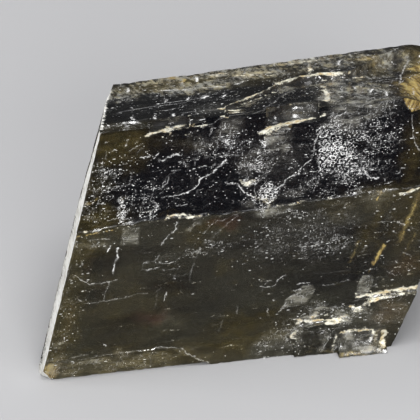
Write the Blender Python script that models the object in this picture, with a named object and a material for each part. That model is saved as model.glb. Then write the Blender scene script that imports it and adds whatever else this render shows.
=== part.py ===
"""Siderite crystal: one cleavage rhomb, left whole but for its steps and chips.

Siderite breaks along three sets of planes that meet at 107 degrees. The piece
is first made as a perfect cleavage rhomb. Then it is broken down as it would be
by hand: thin sheets are peeled off its faces, and corners are cleaved away.
Lengths are in metres. The finished piece rests on its flat underside at Z = 0.
"""
import math

import bmesh
import bpy
from mathutils import Matrix, Vector

MM = 0.001

# Driving dimensions, measured along the three edges of the rhomb.
WIDTH = 25.4 * MM
HEIGHT = 18.4 * MM
DEPTH = 13.8 * MM
CLEAVAGE_ANGLE = math.radians(107.0)

# The rhomb starts oversize by these amounts, and the breaks bring it to size.
FRONT_STOCK = 1.3 * MM
LEFT_STOCK = 0.8 * MM
TOP_STOCK = 1.6 * MM
UNDER_STOCK = 1.0 * MM
CUTTER_REACH = 60.0 * MM
PEEL_CLEARANCE = 5.0 * MM

# Each peel takes the sheet inside its outline off one face, down to `depth`
# under that face. An outline's points are millimetres across and up the face.
FRONT_PEELS = (
    ("flake_sheet", 0.8, (
        (-9, -9), (19.2, -9), (19.3, 0.85), (19.7, 1.15), (21.7, 1.2),
        (21.5, 0.75), (22.5, 0.35), (22.8, -9), (45, -9), (45, 40), (-9, 40))),
    ("ledge_sheet", 1.15, (
        (-9, -9), (16.2, -9), (16.5, 0.5), (16.9, 2.1), (18.4, 2.3), (20.0, 2.35),
        (20.3, 2.9), (21.3, 3.0), (21.4, 3.6), (24.6, 3.85), (45, 4.4), (45, 40), (-9, 40))),
    ("upper_sheet", 1.3, (
        (-9, 10.7), (3.5, 10.8), (7, 11.2), (10, 11.05), (13, 11.05), (17, 11.25),
        (24.5, 11.5), (45, 12.0), (45, 40), (-9, 40))),
)
TOP_PEELS = (
    ("top_sheet", 0.0, (
        (7.9, -9), (7.9, 2.6), (9.0, 3.8), (10.3, 5.5), (11.5, 7.8), (12.7, 8.4), (14.0, 8.5),
        (15.8, 7.8), (16.8, 9.2), (18.2, 11.7), (20.0, 12.1), (45, 12.6), (45, -9))),
    ("top_front_sheet", 0.2, (
        (-9, -9), (-9, 1.6), (2.1, 1.9), (3.0, 0.8), (6.6, 0.7), (7.2, -9))),
    ("edge_nick_left", 0.45, (
        (3.0, -9), (3.1, 1.3), (4.2, 1.7), (5.5, 1.4), (5.8, -9))),
    ("edge_nick_right", 0.95, (
        (10.3, -9), (10.5, 1.5), (12.2, 2.0), (13.8, 1.6), (14.3, -9))),
)
BACK_PEELS = (
    ("back_sheet_high", 0.15, (
        (-9, 12.4), (5.2, 12.1), (6.9, 14.3), (11.8, 14.0), (12.6, 40), (-9, 40))),
    ("back_sheet_low", 0.9, (
        (14.2, -9), (13.6, 6.1), (17.3, 7.0), (18.1, 9.6), (45, 9.2), (45, -9))),
)
LEFT_PEELS = (
    ("left_sheet", 0.25, (
        (6.2, -9), (6.6, 5.8), (9.1, 7.4), (9.7, 11.5), (45, 12.3), (45, -9))),
)
RIGHT_PEELS = (
    ("right_sheet_high", 0.6, (
        (-9, 8.2), (4.4, 8.6), (5.0, 11.9), (9.8, 12.6), (10.4, 40), (-9, 40))),
    ("right_sheet_low", 0.35, (
        (7.7, -9), (7.2, 4.4), (10.9, 5.2), (11.3, 8.4), (45, 8.8), (45, -9))),
)

# Each chip is one flat break: a point on it in millimetres, and the way it faces.
CHIPS = (
    ("top_rise", (4.2, 0.0, 17.8), (-0.033, 0.292, 0.956)),
    ("left_edge_bevel", (0.0, 0.0, 0.0), (-0.965, 0.134, 0.224)),
    ("left_low_break", (1.59, 2.5, 5.0), (-0.932, 0.292, 0.216)),
    ("left_high_break", (2.84, 2.5, 10.5), (-0.920, 0.301, 0.253)),
    ("back_left_break", (4.8, 4.0, 16.7), (-0.916, 0.339, 0.213)),
    ("low_right_chip", (23.3, 0.0, 0.6), (0.90, -0.20, -0.38)),
    ("low_left_chip", (0.9, 0.0, 0.0), (-0.66, -0.50, -0.56)),
    ("top_right_chip", (23.65, 0.0, 17.92), (0.339, 0.137, 0.931)),
    ("back_right_chip", (28.4, 11.0, 3.0), (0.62, 0.72, -0.30)),
    ("flat_underside", (0.0, 0.0, 0.0), (0.0, 0.0, -1.0)),
)

# Each leaning break turns about a level line across the front: the line's height
# and depth in millimetres, the lean in degrees, and an outline measured from it.
LEANING_BREAKS = (
    ("low_band", 1.55, 1.15, 12.0, (
        (-9, -9), (-9, 0), (7.6, 0), (8.8, -0.3), (9.9, -0.95), (11.1, -1.5), (11.4, -9))),
    ("flake_face", 1.2, 0.55, -21.0, ((19.0, -9), (19.0, 0.4), (24.0, 0.4), (24.0, -9))),
)

COLOUR = (0.020, 0.016, 0.011, 1.0)
ROUGHNESS = 0.22


def edge_directions():
    """Unit directions of the rhomb's three edges, with the front face upright."""
    cos_dihedral = math.cos(CLEAVAGE_ANGLE)
    lean = -cos_dihedral / (1.0 - cos_dihedral)
    across = Vector((1.0, 0.0, 0.0))
    rise = math.sqrt(1.0 - lean * lean)
    up = Vector((lean, 0.0, rise))
    fall = -(lean + lean * lean) / rise
    back = Vector((lean, math.sqrt(1.0 - lean * lean - fall * fall), fall))
    return across, up, back


ACROSS, UP, BACK = edge_directions()


def face_frame(origin, first, second, outward):
    """A matrix that lays an outline on a face: two edge directions and its normal."""
    columns = (first, second, outward.normalized())
    frame = Matrix.Identity(4)
    for index, column in enumerate(columns):
        frame.col[index][:3] = column
    return Matrix.Translation(origin) @ frame


def build_frames():
    """The five faces that get peeled, each with its own corner and directions."""
    upright = Vector((0.0, 0.0, 1.0))
    forward = Vector((0.0, -1.0, 0.0))
    side = UP.cross(BACK)
    return {
        "front": face_frame(forward * FRONT_STOCK, ACROSS, upright, forward),
        "top": face_frame(UP * HEIGHT, ACROSS, BACK, ACROSS.cross(BACK)),
        "back": face_frame(BACK * DEPTH, ACROSS, UP, -forward),
        "left": face_frame(Vector(), BACK, UP, side),
        "right": face_frame(ACROSS * WIDTH, BACK, UP, -side),
    }


def new_collection(name):
    collection = bpy.data.collections.new(name)
    bpy.context.scene.collection.children.link(collection)
    return collection


def mesh_from_bmesh(name, bm):
    bmesh.ops.recalc_face_normals(bm, faces=bm.faces)
    mesh = bpy.data.meshes.new(name)
    bm.to_mesh(mesh)
    bm.free()
    return mesh


def rhomb_mesh():
    """A unit cube, sheared so that its edges run along the cleavage directions."""
    front_stock = FRONT_STOCK / BACK.y
    shear = Matrix.Identity(4)
    shear.col[0][:3] = ACROSS * (WIDTH + LEFT_STOCK)
    shear.col[1][:3] = BACK * (DEPTH + front_stock)
    shear.col[2][:3] = UP * (HEIGHT + TOP_STOCK + UNDER_STOCK)
    corner = -ACROSS * LEFT_STOCK - BACK * front_stock - UP * UNDER_STOCK
    bm = bmesh.new()
    bmesh.ops.create_cube(bm, size=1.0)
    bmesh.ops.translate(bm, verts=bm.verts, vec=(0.5, 0.5, 0.5))
    bmesh.ops.transform(bm, verts=bm.verts, matrix=Matrix.Translation(corner) @ shear)
    return mesh_from_bmesh("siderite_crystal", bm)


def outline_mesh(name, outline, thickness):
    """A flat outline in millimetres, filled as a 2D curve and given a thickness."""
    curve = bpy.data.curves.new(name, "CURVE")
    curve.dimensions = "2D"
    curve.fill_mode = "BOTH"
    curve.extrude = thickness / 2
    spline = curve.splines.new("POLY")
    spline.points.add(len(outline) - 1)
    for point, (across, up) in zip(spline.points, outline):
        point.co = (across * MM, up * MM, 0.0, 1.0)
    spline.use_cyclic_u = True
    drawing = bpy.data.objects.new(name, curve)
    bpy.context.scene.collection.objects.link(drawing)
    evaluated = drawing.evaluated_get(bpy.context.evaluated_depsgraph_get())
    bm = bmesh.new()
    bm.from_mesh(evaluated.to_mesh())
    bmesh.ops.remove_doubles(bm, verts=bm.verts, dist=0.001 * MM)
    bpy.data.objects.remove(drawing)
    return mesh_from_bmesh(name, bm)


def cut_away(crystal, cutters, name, mesh):
    """Make the mesh a hidden cutter and subtract it from the crystal."""
    cutter = bpy.data.objects.new(name, mesh)
    cutter.parent = crystal
    cutter.display_type = "WIRE"
    cutter.hide_render = True
    cutters.objects.link(cutter)
    modifier = crystal.modifiers.new(name, "BOOLEAN")
    modifier.operation = "DIFFERENCE"
    modifier.solver = "EXACT"
    modifier.object = cutter


def peel(crystal, cutters, frame, name, depth, outline):
    """Take a sheet off a face, from `depth` millimetres under it outwards."""
    thickness = depth * MM + PEEL_CLEARANCE
    mesh = outline_mesh(name, outline, thickness)
    mesh.transform(Matrix.Translation((0.0, 0.0, thickness / 2 - depth * MM)))
    mesh.transform(frame)
    if frame.determinant() < 0:
        mesh.flip_normals()
    cut_away(crystal, cutters, name, mesh)


def cleave(crystal, cutters, name, point, facing):
    """Take off everything on the outer side of one flat break."""
    bm = bmesh.new()
    bmesh.ops.create_cube(bm, size=CUTTER_REACH)
    bmesh.ops.translate(bm, verts=bm.verts, vec=(0.0, 0.0, CUTTER_REACH / 2))
    mesh = mesh_from_bmesh(name, bm)
    turn = Vector(facing).to_track_quat("Z", "Y").to_matrix().to_4x4()
    mesh.transform(Matrix.Translation(Vector(point) * MM) @ turn)
    cut_away(crystal, cutters, name, mesh)


def lean_break(crystal, cutters, front, name, height, depth, lean, outline):
    """Break the front away along a plane that turns about a level line across it."""
    mesh = outline_mesh(name, outline, PEEL_CLEARANCE)
    mesh.transform(Matrix.Translation((0.0, 0.0, PEEL_CLEARANCE / 2)))
    hinge = Matrix.Translation((0.0, height * MM, -depth * MM))
    mesh.transform(front @ hinge @ Matrix.Rotation(math.radians(lean), 4, "X"))
    cut_away(crystal, cutters, name, mesh)


def stone_material():
    material = bpy.data.materials.new("dark_siderite")
    material.use_nodes = True
    shader = material.node_tree.nodes["Principled BSDF"]
    shader.inputs["Base Color"].default_value = COLOUR
    shader.inputs["Roughness"].default_value = ROUGHNESS
    shader.inputs["Metallic"].default_value = 0.0
    material.diffuse_color = COLOUR
    return material


def stand_on_origin(crystal):
    """Move the crystal so that its box is centred over the origin."""
    evaluated = crystal.evaluated_get(bpy.context.evaluated_depsgraph_get())
    corners = [Vector(corner) for corner in evaluated.bound_box]
    low = Vector(min(corner[axis] for corner in corners) for axis in range(3))
    high = Vector(max(corner[axis] for corner in corners) for axis in range(3))
    crystal.location = (-(low.x + high.x) / 2, -(low.y + high.y) / 2, -low.z)


def build():
    for leftover in list(bpy.data.objects):
        bpy.data.objects.remove(leftover)
    parts = new_collection("siderite")
    cutters = new_collection("cutters")
    crystal = bpy.data.objects.new("siderite_crystal", rhomb_mesh())
    crystal.data.materials.append(stone_material())
    parts.objects.link(crystal)

    frames = build_frames()
    peels = {
        "front": FRONT_PEELS,
        "top": TOP_PEELS,
        "back": BACK_PEELS,
        "left": LEFT_PEELS,
        "right": RIGHT_PEELS,
    }
    for face, sheets in peels.items():
        for name, depth, outline in sheets:
            peel(crystal, cutters, frames[face], name, depth, outline)
    for name, height, depth, lean, outline in LEANING_BREAKS:
        lean_break(crystal, cutters, frames["front"], name, height, depth, lean, outline)
    for name, point, facing in CHIPS:
        cleave(crystal, cutters, name, point, facing)
    stand_on_origin(crystal)


build()
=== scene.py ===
# %% [markdown]
# # A siderite cleavage crystal
#
# Siderite is an iron carbonate. It breaks along three sets of smooth planes, so a
# broken piece is a slanted box, called a rhomb. This one is gemmy but so dark that
# it looks black, with golden brown where it is thin, and pale lines wherever a
# crack or a torn step lets air in. The notebook takes the plain solid that holds
# the crystal's true size and gives it the surface of the real stone.

# %% Load the solid that fixes the crystal's size and place
import math

import bmesh
import bpy
import numpy as np
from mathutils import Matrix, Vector, kdtree, noise
from mathutils.geometry import delaunay_2d_cdt


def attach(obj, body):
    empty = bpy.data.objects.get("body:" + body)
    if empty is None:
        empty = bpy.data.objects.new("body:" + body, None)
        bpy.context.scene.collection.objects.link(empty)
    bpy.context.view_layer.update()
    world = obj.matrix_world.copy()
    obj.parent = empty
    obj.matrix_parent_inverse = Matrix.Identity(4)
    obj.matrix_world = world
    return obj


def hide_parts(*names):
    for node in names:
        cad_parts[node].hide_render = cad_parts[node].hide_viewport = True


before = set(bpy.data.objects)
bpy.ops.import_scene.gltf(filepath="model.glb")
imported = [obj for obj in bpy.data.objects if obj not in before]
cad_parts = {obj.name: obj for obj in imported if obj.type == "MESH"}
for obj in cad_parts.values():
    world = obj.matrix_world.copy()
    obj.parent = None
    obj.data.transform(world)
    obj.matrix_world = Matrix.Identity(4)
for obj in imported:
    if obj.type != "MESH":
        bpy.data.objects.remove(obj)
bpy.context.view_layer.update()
MM = 0.001
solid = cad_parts["siderite_crystal"]

# %% [markdown]
# ## The camera comes first
#
# A long lens from about 30 cm away keeps the edges of the rhomb almost parallel,
# as a close-up of a small mineral has them. Marks on the stone are written in
# millimetres across and up its upright front face, from the lower left corner of
# that face, so that corner is named once here and everything is placed from it.

# %% Place the camera
FRONT_CORNER = Vector((-15.789, -5.822, 0.0)) * MM
AIM_POINT = FRONT_CORNER + Vector((11.07, 0.0, 11.35)) * MM
CAMERA_AZIMUTH = math.radians(-12.25)
CAMERA_ELEVATION = math.radians(30.0)
CAMERA_DISTANCE = 296.4 * MM
LENS = 404.1

towards_camera = Vector((
    math.sin(CAMERA_AZIMUTH) * math.cos(CAMERA_ELEVATION),
    -math.cos(CAMERA_AZIMUTH) * math.cos(CAMERA_ELEVATION),
    math.sin(CAMERA_ELEVATION),
))
camera = bpy.data.objects.new("camera", bpy.data.cameras.new("camera"))
camera.data.lens = LENS
camera.data.sensor_width = 36.0
camera.data.clip_start = 10 * MM
camera.data.clip_end = 10.0
camera.location = AIM_POINT + towards_camera * CAMERA_DISTANCE
camera.rotation_mode = "QUATERNION"
camera.rotation_quaternion = (-towards_camera).to_track_quat("-Z", "Y")
bpy.context.scene.collection.objects.link(camera)
bpy.context.scene.camera = camera
print("camera stands", round(CAMERA_DISTANCE / MM), "mm away")

# %% [markdown]
# ## Read the flat faces back from the solid
#
# The solid arrives as loose triangles. Joining the doubled corners and dissolving
# the lines between triangles that lie in one plane gives back the real faces:
# large cleavage faces, and the narrow risers where a sheet was torn off.

# %% Join the triangles into faces
WELD = 0.0001 * MM
SAME_PLANE = math.radians(0.3)
faces_mesh = bmesh.new()
faces_mesh.from_mesh(solid.data)
bmesh.ops.remove_doubles(faces_mesh, verts=faces_mesh.verts, dist=WELD)
bmesh.ops.dissolve_limit(
    faces_mesh, angle_limit=SAME_PLANE, verts=faces_mesh.verts, edges=faces_mesh.edges
)
faces_mesh.verts.index_update()
faces_mesh.edges.index_update()
faces_mesh.faces.index_update()
faces_mesh.normal_update()
print(len(faces_mesh.faces), "flat faces")

# %% Sort the faces by which way they look
FLAT_AREA = 5.0 * MM * MM
FRONT, TOP, LEFT, RIGHT, BACK, UNDER = range(6)
SIDE_NAMES = ("front", "top", "left", "right", "back", "under")
# The distance between surface points on each side: finest where the detail is.
SPACING = {FRONT: 0.12, TOP: 0.18, LEFT: 0.25, RIGHT: 0.25, BACK: 0.3, UNDER: 0.8}
RISER_SPACING = 0.18
TOP_NORMAL = Vector((0.0, 0.292, 0.956))
NEARLY_PARALLEL = 0.99


def side_of(normal):
    """Which side of the crystal a face belongs to, from its normal."""
    if normal.z < -0.9:
        return UNDER
    if normal.z > 0.6:
        return TOP
    if normal.y < -0.7:
        return FRONT
    if normal.y > 0.7:
        return BACK
    return LEFT if normal.x < 0 else RIGHT


def side_of_riser(riser):
    """The side that a narrow face interrupts: that of its longest broad neighbour."""
    if riser.normal.dot(TOP_NORMAL) > NEARLY_PARALLEL:
        return TOP
    shared = [
        (edge.calc_length(), side_of(other.normal))
        for edge in riser.edges
        for other in edge.link_faces
        if other.calc_area() > FLAT_AREA and side_of(other.normal) != UNDER
    ]
    return max(shared)[1] if shared else side_of(riser.normal)


broad = [face.calc_area() > FLAT_AREA for face in faces_mesh.faces]
side = [
    side_of(face.normal) if broad[face.index] else side_of_riser(face)
    for face in faces_mesh.faces
]
step = [
    SPACING[side[face.index]] if broad[face.index] else RISER_SPACING
    for face in faces_mesh.faces
]
for index, name in enumerate(SIDE_NAMES):
    print(name, sum(s == index for s in side), "faces")

# %% [markdown]
# ## The marks on the front face
#
# A cleavage face is never blank. Thin white lines are cracks, where air has got
# under a sliver. They could be painted with noise, but then they would fall
# anywhere, so the ones that give this face its look are drawn one by one. Each row
# is a width, a strength, and then how far across and up each bend of the line is.

# %% Draw the cracks
def bent_lines(rows):
    """Lines from rows of a width, a strength, and then x and y of every bend."""
    return tuple(
        (width, strength, tuple(zip(bends[::2], bends[1::2]))) for width, strength, *bends in rows
    )


CRACKS = bent_lines((
    # The long slash on the left and its tail.
    (0.115, 1.0, 5.2, 9.4, 5.1, 8.9, 4.98, 8.4),
    (0.072, 1.0, 4.98, 8.4, 4.87, 7.9, 4.68, 7.5),
    (0.045, 0.5, 4.5, 6.95, 4.35, 6.3, 4.2, 5.75),
    (0.086, 1.0, 4.7, 9.5, 4.5, 9.2),
    # The arc under it, and the long line below.
    (0.065, 1.0, 2.45, 7.65, 2.6, 7.4, 2.85, 7.2, 3.2, 7.02),
    (0.05, 0.7, 3.2, 7.02, 3.7, 6.95, 4.3, 6.93, 4.7, 7.0, 5.0, 7.1),
    (0.045, 0.45, 2.5, 6.2, 2.65, 5.85, 3.0, 5.6, 3.9, 5.62, 4.9, 5.62),
    (0.045, 0.5, 4.9, 5.62, 5.5, 5.7, 6.0, 5.82, 6.6, 5.9, 7.0, 5.8),
    # The hook and the lines that meet it.
    (0.05, 0.8, 6.65, 7.6, 7.0, 7.55, 7.8, 7.65),
    (0.045, 0.6, 6.7, 7.7, 6.8, 8.0, 7.3, 8.1, 7.6, 8.2, 7.8, 8.6),
    (0.05, 0.8, 7.8, 8.0, 8.2, 7.88, 8.8, 7.98, 9.1, 8.15),
    (0.045, 0.4, 8.0, 7.4, 9.0, 7.42),
    (0.065, 1.0, 8.3, 5.75, 8.12, 5.4, 8.05, 5.1),
    # The loop in the middle and the shard beside it.
    (0.045, 0.7, 14.3, 5.45, 14.6, 5.3, 15.1, 5.3, 15.4, 5.5, 15.6, 5.8, 16.0, 6.0),
    (0.045, 0.5, 14.65, 5.5, 14.9, 5.85, 15.1, 5.7),
    (0.045, 0.8, 15.5, 3.35, 15.9, 3.6, 16.05, 4.15, 16.3, 4.42, 16.9, 4.55, 17.1, 4.75),
    (0.045, 0.9, 16.7, 5.3, 17.55, 5.2),
    (0.045, 0.8, 16.4, 4.85, 17.0, 4.9, 17.12, 4.7),
    (0.045, 0.8, 14.85, 3.7, 14.95, 3.2),
    # Fine scratches on the right.
    (0.045, 0.5, 18.4, 4.97, 18.9, 4.99, 19.4, 5.05, 20.25, 5.07),
    (0.045, 0.5, 22.4, 5.7, 22.8, 5.3, 23.3, 5.1),
    (0.045, 0.7, 21.95, 9.15, 22.5, 9.12, 23.2, 9.05, 23.8, 8.77),
    # The crack that closes the leaning band at the lower left.
    (0.045, 0.35, 0.9, 1.4, 3.0, 1.5, 5.8, 1.64, 7.8, 1.66),
    (0.06, 0.6, 7.8, 1.66, 8.45, 1.52, 9.3, 1.36, 9.5, 0.95, 10.1, 0.6, 10.95, 0.1),
    # Cracks that climb through the dark upper half.
    (0.075, 1.0, 8.0, 12.6, 9.0, 12.65, 9.7, 12.75, 10.1, 13.0),
    (0.07, 1.0, 10.1, 13.0, 10.4, 13.3, 10.42, 13.6, 10.8, 13.85, 11.25, 13.97),
    (0.10, 1.0, 11.25, 13.97, 11.55, 14.35, 11.9, 14.55, 12.15, 14.78),
    (0.08, 0.9, 12.05, 13.2, 12.5, 13.1, 12.9, 12.9, 13.2, 12.5, 13.45, 12.25, 13.9, 11.8),
    (0.07, 0.9, 15.2, 12.2, 15.6, 12.5, 15.9, 12.7, 16.1, 13.0, 16.4, 13.15, 16.8, 13.25),
    (0.07, 1.0, 16.8, 13.25, 16.86, 13.5, 17.18, 13.79, 17.56, 14.11),
    (0.075, 0.9, 17.56, 14.11, 17.75, 14.52, 17.81, 15.23, 17.99, 15.93),
    (0.10, 0.55, 17.99, 15.93, 18.44, 16.38, 19.07, 17.02, 19.84, 17.36),
    (0.045, 0.6, 14.0, 12.95, 14.0, 12.0, 14.02, 11.1),
    (0.045, 0.6, 13.7, 14.4, 13.7, 13.5),
    (0.072, 0.9, 8.9, 10.8, 8.8, 10.3, 8.68, 10.1, 8.3, 9.85, 8.1, 9.6, 7.95, 9.2),
    (0.045, 0.5, 13.3, 11.0, 12.4, 10.75, 11.6, 10.5, 11.0, 10.1, 10.6, 9.8),
    (0.045, 0.35, 12.8, 10.7, 12.2, 10.3, 11.4, 9.6, 11.0, 9.1),
    (0.05, 0.6, 5.5, 13.6, 6.0, 13.9, 6.08, 14.4, 5.9, 14.8),
    (0.072, 0.9, 7.5, 15.4, 7.8, 15.7),
    (0.079, 1.0, 7.8, 15.3, 8.1, 15.22, 8.5, 15.48, 8.9, 15.57, 9.3, 15.5),
    (0.072, 0.9, 6.7, 15.6, 7.3, 15.68),
    (0.065, 0.8, 9.1, 15.05, 9.4, 15.0),
    (0.079, 0.9, 10.0, 15.12, 10.4, 15.08),
    (0.05, 0.5, 6.0, 16.2, 6.3, 16.42, 6.7, 16.6),
    (0.05, 0.8, 7.5, 13.4, 7.25, 12.4, 7.7, 12.3, 7.8, 12.0, 7.35, 11.7, 7.2, 11.2),
    (0.058, 0.8, 8.3, 14.0, 8.1, 13.6, 8.02, 13.2),
    (0.05, 0.7, 5.2, 12.1, 5.45, 11.9, 5.7, 11.75, 5.6, 11.3),
    (0.045, 0.5, 3.2, 10.15, 3.9, 10.2, 4.6, 10.1),
    (0.086, 0.9, 21.0, 13.1, 21.15, 12.65, 21.5, 12.4, 22.0, 12.33),
    (0.072, 0.8, 21.3, 16.1, 21.7, 16.02, 22.1, 15.88),
    (0.05, 0.6, 22.55, 17.5, 22.65, 17.0, 22.7, 16.5),
    (0.058, 0.7, 24.05, 16.6, 24.08, 15.8, 24.2, 15.1, 24.4, 14.4, 24.6, 14.0),
    (0.05, 0.5, 10.5, 17.4, 11.2, 17.5, 11.8, 17.85),
    (0.05, 0.6, 23.7, 6.68, 24.24, 6.39),
    (0.05, 0.5, 24.2, 8.5, 24.6, 8.3),
    # Single bright specks: painted glints of tiny pits.
    (0.07, 1.0, 8.7, 6.7, 8.8, 6.7),
    (0.07, 1.0, 9.9, 5.4, 10.0, 5.38),
    (0.07, 1.0, 4.1, 2.42, 4.28, 2.3),
    (0.07, 0.9, 2.1, 5.82, 2.18, 5.8),
    (0.07, 0.9, 15.12, 4.2, 15.2, 4.2),
    (0.07, 0.8, 14.82, 4.76, 14.9, 4.74),
    (0.07, 1.0, 22.6, 7.66, 22.72, 7.66),
    (0.07, 1.0, 22.98, 8.38, 23.06, 8.3),
    (0.07, 1.0, 23.14, 8.2, 23.2, 8.16),
    (0.07, 0.9, 24.0, 8.32, 24.08, 8.3),
    (0.07, 1.0, 23.2, 6.1, 23.24, 6.0),
    (0.07, 1.0, 5.0, 16.3, 5.15, 16.3),
    (0.07, 1.0, 5.55, 15.3, 5.7, 15.28),
    (0.07, 0.9, 4.4, 17.0, 4.52, 17.0),
    (0.07, 1.0, 8.6, 14.4, 8.75, 14.38),
    (0.07, 0.9, 10.7, 14.5, 10.82, 14.48),
    # Cracks across the proud ledges at the lower right.
    (0.058, 0.6, 18.9, 1.5, 18.6, 0.9, 18.3, 0.2),
    (0.058, 0.6, 19.5, 0.9, 19.1, 0.05),
))
print(len(CRACKS), "cracks drawn")

# %% [markdown]
# Wider marks are soft patches: grey haze where a sliver has lifted, gold where
# light gets behind a break, crusts of torn grains, and fine white flecks, small
# pits painted white for the glints they throw.
# Each is an oval: centre, half width, half height, turn in degrees and strength.

# %% Place the soft patches
HAZE = (
    (9.9, 10.3, 0.7, 0.2, 38, 0.5), (15.4, 14.3, 1.6, 1.6, 20, 0.14), (15.4, 15.9, 0.9, 0.7, 20, 0.5),
    (14.0, 14.6, 1.4, 0.7, 10, 0.25), (16.6, 12.0, 1.2, 0.5, 10, 0.2), (14.9, 10.9, 1.4, 0.35, 0, 0.4),
    (17.4, 9.0, 3.2, 1.4, 10, 0.12), (21.0, 17.5, 2.0, 0.6, 0, 0.42), (19.6, 16.9, 1.3, 0.9, -20, 0.38),
    (12.3, 17.0, 0.9, 0.7, 0, 0.25), (10.8, 16.2, 1.0, 0.6, 0, 0.22), (7.6, 3.8, 1.3, 0.6, 0, 0.1),
    (15.4, 1.2, 1.8, 0.8, 10, 0.25), (20.8, 0.85, 1.2, 0.4, 0, 0.5), (18.0, 2.85, 1.3, 0.4, 5, 0.4),
    (20.3, 2.6, 1.2, 0.5, 10, 0.4), (22.3, 2.2, 2.2, 1.3, 15, 0.13), (20.7, 0.95, 0.9, 0.35, 0, 0.4),
    (3.2, 0.9, 0.9, 0.5, 0, 0.45), (5.0, 0.7, 5.0, 0.8, 0, 0.22), (0.8, 0.9, 0.7, 0.8, 0, 0.35),
    (1.3, 2.7, 0.3, 0.4, 0, 0.4), (21.8, 11.0, 1.0, 0.5, 0, 0.16), (3.4, 9.9, 1.2, 0.3, 2, 0.3),
)
# Thin brown glass, where light gets round behind the face.
AMBER = (
    (5.4, 16.6, 2.0, 1.6, 10, 0.8), (3.2, 14.0, 1.4, 3.2, -13, 0.35), (3.6, 11.2, 2.2, 1.0, 0, 0.9),
    (1.5, 4.5, 1.5, 6.0, -13, 0.75), (2.6, 9.4, 2.2, 1.4, 0, 0.8), (5.5, 4.2, 4.2, 3.2, 0, 0.35),
    (13.3, 2.9, 2.6, 0.9, 0, 0.7), (6.9, 3.5, 1.2, 0.6, 0, 0.6), (6.0, 0.7, 6.0, 1.1, 0, 1.0),
    (12.5, 1.6, 4.0, 1.1, 5, 0.7), (21.6, 8.8, 0.7, 1.8, -15, 0.7), (24.2, 9.5, 1.3, 3.0, -18, 0.6),
    (24.0, 5.6, 0.9, 1.0, 0, 0.5), (22.2, 11.0, 1.8, 0.8, 0, 0.6), (19.3, 10.6, 1.2, 0.9, 0, 0.4),
    (22.9, 2.4, 1.3, 1.6, 0, 0.4), (10.6, 9.9, 1.6, 0.8, 15, 0.5), (11.8, 7.0, 0.7, 0.6, 0, 0.4),
    (24.3, 14.5, 0.7, 3.5, -10, 0.5), (9.0, 16.3, 1.5, 0.5, 0, 0.3),
)
# Places where the brown glass is darker than the rest, and beside the golden corner a narrow painted
# shadow of the step there.
SHADE = (
    (17.2, 8.4, 5.0, 2.4, 0, 0.6), (16.5, 10.4, 4.0, 0.8, 0, 0.4), (12.0, 5.5, 2.5, 2.0, 0, 0.15),
    (20.0, 6.0, 4.0, 1.8, 0, 0.55), (22.5, 8.4, 1.2, 2.0, -18, 0.5), (4.2, 8.6, 1.6, 1.2, 0, 0.5),
    (5.6, 3.6, 2.2, 1.0, 10, 0.45), (3.6, 6.2, 1.4, 1.0, 0, 0.4), (10.5, 4.4, 2.4, 1.6, 0, 0.35),
    (18.0, 12.2, 3.0, 0.8, 0, 0.4), (23.0, 17.3, 0.35, 1.6, 8, 0.9), (8.8, 16.2, 1.4, 0.8, 0, 0.6),
    (12.0, 2.6, 3.0, 0.8, 0, 0.3), (9.0, 6.8, 2.4, 1.4, 0, 0.4), (4.0, 3.4, 2.0, 1.6, -10, 0.25),
)
GOLD = (
    (22.0, 11.3, 0.5, 0.35, 0, 0.3), (20.3, 15.9, 0.3, 0.3, 0, 0.3), (0.55, 0.7, 0.9, 0.8, 0, 0.8),
    (16.0, 16.5, 0.3, 0.25, 0, 0.6), (22.3, 0.5, 0.35, 0.22, 0, 0.9), (20.4, 0.2, 2.0, 0.2, 0, 0.6),
    (21.6, 0.9, 0.6, 0.3, 0, 0.4), (8.6, 11.2, 0.9, 0.25, 0, 0.3), (3.4, 12.9, 0.5, 0.2, 0, 0.5),
)
CRUST = (
    (13.5, 13.2, 0.65, 0.35, 0, 0.6), (15.2, 16.6, 0.8, 0.3, 18, 0.5), (16.8, 1.5, 0.15, 0.35, 15, 0.7),
    (18.0, 2.75, 1.0, 0.28, 5, 0.4), (22.3, 0.55, 0.4, 0.16, 0, 0.8), (24.1, 4.7, 0.2, 0.12, 0, 0.6),
    (22.5, 4.5, 0.2, 0.12, 0, 0.6), (0.7, 0.9, 0.5, 0.5, 0, 0.3), (1.5, 2.8, 0.35, 0.4, 0, 0.35),
    (14.7, 11.6, 0.7, 0.5, 0, 0.45), (5.4, 12.9, 0.3, 0.4, 0, 0.4), (21.9, 11.1, 0.9, 0.5, 0, 0.25),
)
RED = (
    (11.9, 10.45, 1.0, 0.5, 25, 0.3), (23.8, 5.6, 0.9, 0.8, 0, 0.2), (22.6, 2.6, 1.2, 1.0, 0, 0.15),
    (7.14, 4.0, 1.0, 0.6, 0, 0.4),
)
# White flecks over pitted spots; their white stands in for the glints of the pits, a painted highlight.
FLECKS = (
    (12.5, 14.4, 13.0, 3.4, 3, 0.19), (6.3, 12.6, 1.6, 1.8, -12, 0.55), (3.9, 13.2, 1.5, 2.8, -13, 0.5),
    (12.0, 15.7, 1.6, 1.2, 20, 0.75), (14.0, 13.9, 1.5, 1.2, 0, 0.7), (13.4, 12.3, 0.6, 1.0, 0, 0.6),
    (21.6, 14.6, 1.6, 3.0, -15, 0.85), (19.0, 12.3, 3.4, 0.8, 0, 0.8), (18.3, 8.2, 2.2, 1.0, 0, 0.62),
    (17.6, 8.8, 4.6, 1.9, 5, 0.26), (11.0, 8.6, 2.6, 0.6, 3, 0.6), (16.5, 10.5, 3.6, 0.6, 4, 0.42),
    (22.3, 9.8, 3.0, 2.0, 0, 0.14), (22.8, 5.6, 1.6, 1.4, 0, 0.18), (18.3, 2.6, 2.6, 1.0, 5, 0.7),
    (22.4, 2.2, 2.4, 1.5, 15, 0.15), (15.4, 1.2, 1.8, 0.9, 15, 0.5), (5.0, 0.8, 5.5, 0.8, 0, 0.16),
    (1.6, 5.5, 1.3, 5.0, -13, 0.3),
)
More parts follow.
